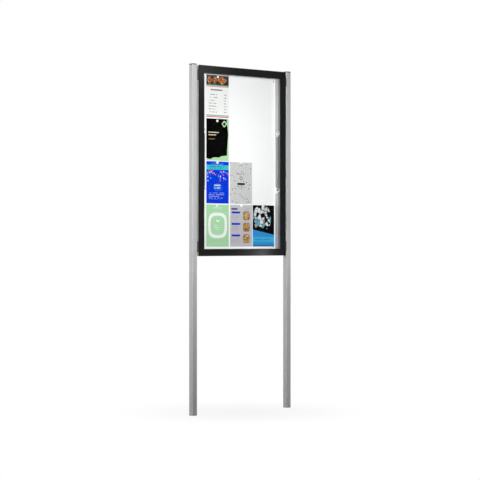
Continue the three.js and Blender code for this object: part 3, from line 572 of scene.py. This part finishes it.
designs = [(priceList, priceInks), (leafPoster, leafInks), (fairPoster, fairInks), (plainPoster, plainInks),
           (framePoster, frameInks), (tilesPoster, tilesInks), (nightPoster, nightInks)]
for number, (design, inks) in enumerate(designs, 1):
    dress(printedSheet(f"notice_sheet_{number}", design, inks), f"notice_sheet_{number}")
    dress(magnetPlastic, f"sheet_magnet_{number}")
dress(panelEnamel, "back_panel")
dress(rearMill, "rear_sheet")
dress(paneClear, "glass_pane")
dress(sealRubber, "glazing_gasket", "door_seal")
dress(hingePaint, "hinge_leaf_case", "hinge_leaf_door")
dress(zincPlate, "hinge_pin")
for side in ("left", "right"):
    dress(silverUpright, f"post_{side}", f"case_profile_{side}")
    dress(greyUpright, f"door_profile_{side}")
    dress(blackUpright, f"door_cover_{side}")
    dress(capPlastic, f"post_cap_{side}")
    dress(lockNickel, f"lock_housing_{side}", f"lock_plug_{side}")
    dress(zincPlate, f"lock_cam_{side}")
    dress(strutZinc, f"strut_bracket_case_{side}", f"strut_bracket_door_{side}")
    dress(strutPaint, f"strut_tube_{side}")
    dress(rodChrome, f"strut_rod_{side}")
    for level in ("upper", "lower"):
        dress(bracketPlastic, f"side_bracket_{level}_{side}")
        dress(zincPlate, f"bracket_bolt_{level}_{side}")
for level in ("top", "bottom"):
    dress(silverLevel, f"case_profile_{level}")
    dress(greyLevel, f"door_profile_{level}")
    dress(blackLevel, f"door_cover_{level}")
print("frame nodes dressed")


# Selecting faces or edges of the mesh in edit mode, by a test on each one
def choose(piece, kind, test):
    bpy.ops.object.mode_set(mode="OBJECT")
    mesh = piece.data
    for items in (mesh.vertices, mesh.edges, mesh.polygons):
        for item in items:
            item.select = False
    for item in getattr(mesh, kind):
        item.select = test(item)
    bpy.ops.object.mode_set(mode="EDIT")
    bpy.ops.mesh.select_mode(type={"polygons": "FACE", "edges": "EDGE"}[kind])


def subtract(piece, cutter):
    modifier = piece.modifiers.new("cut", "BOOLEAN")
    modifier.object = cutter
    modifier.operation = "DIFFERENCE"
    modifier.solver = "EXACT"
    bpy.context.view_layer.objects.active = piece
    bpy.ops.object.modifier_apply(modifier=modifier.name)
    bpy.data.objects.remove(cutter)


# A round head on the XY plane, standing along +Z, with a bevelled rim
def makeHead(name, head):
    bpy.ops.object.select_all(action="DESELECT")
    bpy.ops.mesh.primitive_cylinder_add(
        vertices=head["sides"], radius=head["radius"], depth=head["rise"], location=(0, 0, head["rise"] / 2))
    piece = bpy.context.object
    piece.name = name
    bpy.ops.object.transform_apply(location=True, rotation=True, scale=True)
    points = piece.data.vertices
    choose(piece, "edges", lambda edge: all(points[end].co.z > head["rise"] * 0.99 for end in edge.vertices))
    bpy.ops.mesh.bevel(offset=head["rim"], segments=head["rimSteps"], profile=0.5)
    return piece


driveTaper = (0.55, 0.7, 1)        # the recess's floor, as a share of its mouth


# A screw head with a crossed drive recess
def makeScrewHead(name, head):
    piece = makeHead(name, head)
    bpy.ops.object.mode_set(mode="OBJECT")
    for turn in (0, math.pi / 2):
        bpy.ops.mesh.primitive_cube_add(size=1, location=(0, 0, head["rise"]), rotation=(0, 0, turn))
        cutter = bpy.context.object
        cutter.scale = (head["driveLength"], head["driveWidth"], head["driveDepth"] * 2)
        bpy.ops.object.transform_apply(location=True, rotation=True, scale=True)
        choose(cutter, "polygons", lambda face: face.normal.z < -0.9)
        bpy.ops.transform.resize(value=driveTaper)
        bpy.ops.object.mode_set(mode="OBJECT")
        subtract(piece, cutter)
    tidyMesh(piece)
    return piece


# A low blind rivet with the dimple of its broken stem
def makeRivetHead(name, head):
    piece = makeHead(name, head)
    choose(piece, "polygons", lambda face: face.normal.z > 0.999)
    bpy.ops.mesh.inset(thickness=head["inset"])
    bpy.ops.mesh.extrude_region_move(TRANSFORM_OT_translate={"value": (0, 0, -head["dimple"])})
    bpy.ops.object.mode_set(mode="OBJECT")
    tidyMesh(piece)
    return piece


cleanUp = {"mergeWithin": 1e-6, "smoothBelow": 35}


def tidyMesh(piece):
    bpy.context.view_layer.objects.active = piece
    bpy.ops.object.select_all(action="DESELECT")
    piece.select_set(True)
    bpy.ops.object.mode_set(mode="EDIT")
    bpy.ops.mesh.select_all(action="SELECT")
    bpy.ops.mesh.remove_doubles(threshold=cleanUp["mergeWithin"])
    bpy.ops.mesh.normals_make_consistent(inside=False)
    bpy.ops.object.mode_set(mode="OBJECT")
    bpy.ops.object.shade_smooth_by_angle(angle=math.radians(cleanUp["smoothBelow"]))
    piece.select_set(False)


# Copies of a finished head, each with its own mesh. places holds each one's spot and how far it is
# turned on its own axis, and facing is the way the heads point.
def setPieces(first, prefix, places, facing, finish, body):
    turn = Vector((0, 0, 1)).rotation_difference(Vector(facing)).to_matrix().to_4x4()
    for number, (place, spin) in enumerate(places, 1):
        piece = first.copy()
        piece.data = first.data.copy()
        piece.name = f"{prefix}_{number}"
        bpy.context.scene.collection.objects.link(piece)
        piece.data.transform(Matrix.Translation(place) @ turn @ Matrix.Rotation(spin, 4, "Z"))
        piece.data.materials.clear()
        piece.data.materials.append(finish)
        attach(piece, body)


# Panel screws in the panel's four corners, seen through the pane
panelScrew = {"radius": 0.004, "rise": 0.0024, "sides": 40, "rim": 0.0013, "rimSteps": 5,
              "driveLength": 0.0046, "driveWidth": 0.0011, "driveDepth": 0.0015,
              "inSide": 0.0654, "inTop": 0.0640, "inLow": 0.0572}
panelLow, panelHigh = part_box("back_panel")
head = makeScrewHead("panelScrewHead", panelScrew)
corners = []
for level in (panelHigh.z - panelScrew["inTop"], panelLow.z + panelScrew["inLow"]):
    for hand in (-1, 1):
        corner = Vector((hand * (panelHigh.x - panelScrew["inSide"]), panelLow.y, level))
        corners.append((corner, 0.35 + 0.5 * hand + level))
setPieces(head, "panel_screw", corners, (0, -1, 0), hingePaint, "case_and_posts")
bpy.data.objects.remove(head)

# Screws that hold the hinge's case leaf down on the case
hingeScrew = {"radius": 0.0034, "rise": 0.0018, "sides": 32, "rim": 0.0010, "rimSteps": 4,
              "driveLength": 0.0040, "driveWidth": 0.0009, "driveDepth": 0.0011,
              "count": 7, "endGap": 0.032, "back": 0.0159, "leafHalf": 0.0006}
pinLow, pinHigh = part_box("hinge_pin")
hingeAxis = (pinLow + pinHigh) / 2
head = makeScrewHead("hingeScrewHead", hingeScrew)
reach = pinHigh.x - hingeScrew["endGap"]
row = []
for k in range(hingeScrew["count"]):
    along = reach * (2 * k / (hingeScrew["count"] - 1) - 1)
    row.append((hingeAxis + Vector((along, hingeScrew["back"], hingeScrew["leafHalf"])), 0.7 * k))
setPieces(head, "hinge_screw", row, (0, 0, 1), zincPlate, "case_and_posts")
bpy.data.objects.remove(head)

# Screws through the struts' brackets
strutScrew = {"radius": 0.0031, "rise": 0.0016, "sides": 32, "rim": 0.0009, "rimSteps": 4,
              "driveLength": 0.0036, "driveWidth": 0.0008, "driveDepth": 0.0010,
              "plate": 0.003, "doorApart": 0.009, "caseApart": 0.0145, "caseBack": 0.008}
head = makeScrewHead("strutScrewHead", strutScrew)
for side, hand in (("left", -1), ("right", 1)):
    inner = Vector((-hand * strutScrew["plate"], 0, 0))
    for part, body, apart in (("door", "door", strutScrew["doorApart"]),
                              ("case", "case_and_posts", strutScrew["caseApart"])):
        low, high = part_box(f"strut_bracket_{part}_{side}")
        depth = high.y - strutScrew["caseBack"] if part == "case" else (low.y + high.y) / 2
        wall = Vector((high.x if hand > 0 else low.x, depth, (low.z + high.z) / 2))
        pair = [(wall + inner + Vector((0, 0, end * apart)), 0.4 + end) for end in (-1, 1)]
        setPieces(head, f"strut_screw_{part}_{side}", pair, (-hand, 0, 0), zincPlate, body)
bpy.data.objects.remove(head)

# Blind rivets round the rear sheet
rivet = {"radius": 0.0038, "rise": 0.00075, "sides": 32, "rim": 0.00055, "rimSteps": 4,
         "inset": 0.0021, "dimple": 0.0004, "edge": 0.010, "across": 5, "upward": 8}
sheetLow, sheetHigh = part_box("rear_sheet")
head = makeRivetHead("rivetHead", rivet)
left, right = sheetLow.x + rivet["edge"], sheetHigh.x - rivet["edge"]
low, high = sheetLow.z + rivet["edge"], sheetHigh.z - rivet["edge"]
spots = []
for k in range(rivet["across"] + 1):
    across = left + (right - left) * k / rivet["across"]
    spots += [(Vector((across, sheetHigh.y, level)), 0) for level in (low, high)]
for k in range(1, rivet["upward"]):
    level = low + (high - low) * k / rivet["upward"]
    spots += [(Vector((across, sheetHigh.y, level)), 0) for across in (left, right)]
setPieces(head, "rear_rivet", spots, (0, 1, 0), rearMill, "case_and_posts")
bpy.data.objects.remove(head)
print("screws and rivets set")

# White floor and sky, which light the object only a little
studio = {"floorSize": 120, "floorColour": (0.95, 0.95, 0.95), "backdrop": (1, 1, 1),
          "nearWhite": 0.1, "farWhite": 1.0, "nearShare": 0.86, "ambient": 0.05}
bpy.ops.object.select_all(action="DESELECT")
bpy.ops.mesh.primitive_plane_add(size=studio["floorSize"], location=(0, 0, 0))
floor = bpy.context.object
floor.name = "studioFloor"


# 1 for the rays that show the background: to the camera, off gloss and through glass
def showing(start):
    rays = [start.node("ShaderNodeLightPath", out=kind)
            for kind in ("Is Camera Ray", "Is Glossy Ray", "Is Transmission Ray")]
    return (rays[0] + rays[1] + rays[2]).least(1)


def floorMaterial():
    material, start = bareMaterial("studioFloor")
    x, y, _ = start.axes()
    distance = (x * x + y * y) ** 0.5
    near = studio["nearShare"]
    white = distance.ease(studio["nearWhite"], studio["farWhite"]) * (1 - near) + near
    lit = start.node("ShaderNodeBsdfDiffuse", {}, {"Color": studio["floorColour"]})
    plain = start.node("ShaderNodeEmission", {}, {"Color": studio["backdrop"], "Strength": 1.0})
    surface = start.node("ShaderNodeMixShader", {}, {0: white * showing(start), 1: lit, 2: plain})
    start.node("ShaderNodeOutputMaterial", {}, {"Surface": surface})
    return material


floor.data.materials.append(floorMaterial())

world = bpy.data.worlds.new("studioWorld")
bpy.context.scene.world = world
world.use_nodes = True
world.node_tree.nodes.clear()
sky = Wire(world.node_tree)
strength = showing(sky) * (1 - studio["ambient"]) + studio["ambient"]
glow = sky.node("ShaderNodeBackground", {}, {"Color": studio["backdrop"], "Strength": strength})
sky.node("ShaderNodeOutputWorld", {}, {"Surface": glow})

# Square lamps. The two shine lamps light gloss alone, for the bright spots on the door's frame.
lamps = {
    "keyLamp": {"place": (-2.9, -3.9, 1.9), "aim": (0, 0, 1.8), "size": 0.4, "spread": 45, "watts": 14.8},
    "sideKeyLamp": {"place": (-3.7, -3.2, 3.0), "aim": (0, 0, 2.1), "size": 0.5, "spread": 50, "watts": 7.6},
    "leftLamp": {"place": (-4.2, 0.8, 2.6), "aim": (0, 0, 1.8), "size": 2.0, "spread": 180, "watts": 27},
    "lowLeftLamp": {"place": (-4.5, 0.2, 0.7), "aim": (0, 0, 0.6), "size": 1.5, "spread": 70, "watts": 6.5},
    "rightLamp": {"place": (4.8, 0.6, 2.4), "aim": (0, 0, 1.4), "size": 2.5, "spread": 180, "watts": 60},
    "rearLamp": {"place": (1.5, 4.5, 4.0), "aim": (0, 0, 1.6), "size": 2.5, "spread": 180, "watts": 120},
    "topShine": {"place": (0.16, -0.72, 2.50), "aim": (-0.35, 0, 2.42), "size": 0.15, "spread": 180,
                 "watts": 1.6, "shineOnly": True},
    "railShine": {"place": (0.445, -0.33, 1.125), "aim": (0.21, 0, 1.13), "size": 0.05, "spread": 180,
                  "watts": 0.72, "shineOnly": True},
}
for name, lamp in lamps.items():
    bpy.ops.object.light_add(type="AREA", location=lamp["place"])
    light = bpy.context.object
    light.name = name
    light.data.shape = "SQUARE"
    light.data.size = lamp["size"]
    light.data.spread = math.radians(lamp["spread"])
    light.data.energy = lamp["watts"]
    light.visible_diffuse = not lamp.get("shineOnly", False)
    light.visible_camera = False
    light.rotation_euler = (Vector(lamp["aim"]) - Vector(lamp["place"])).to_track_quat("-Z", "Y").to_euler()
print("studio lit")
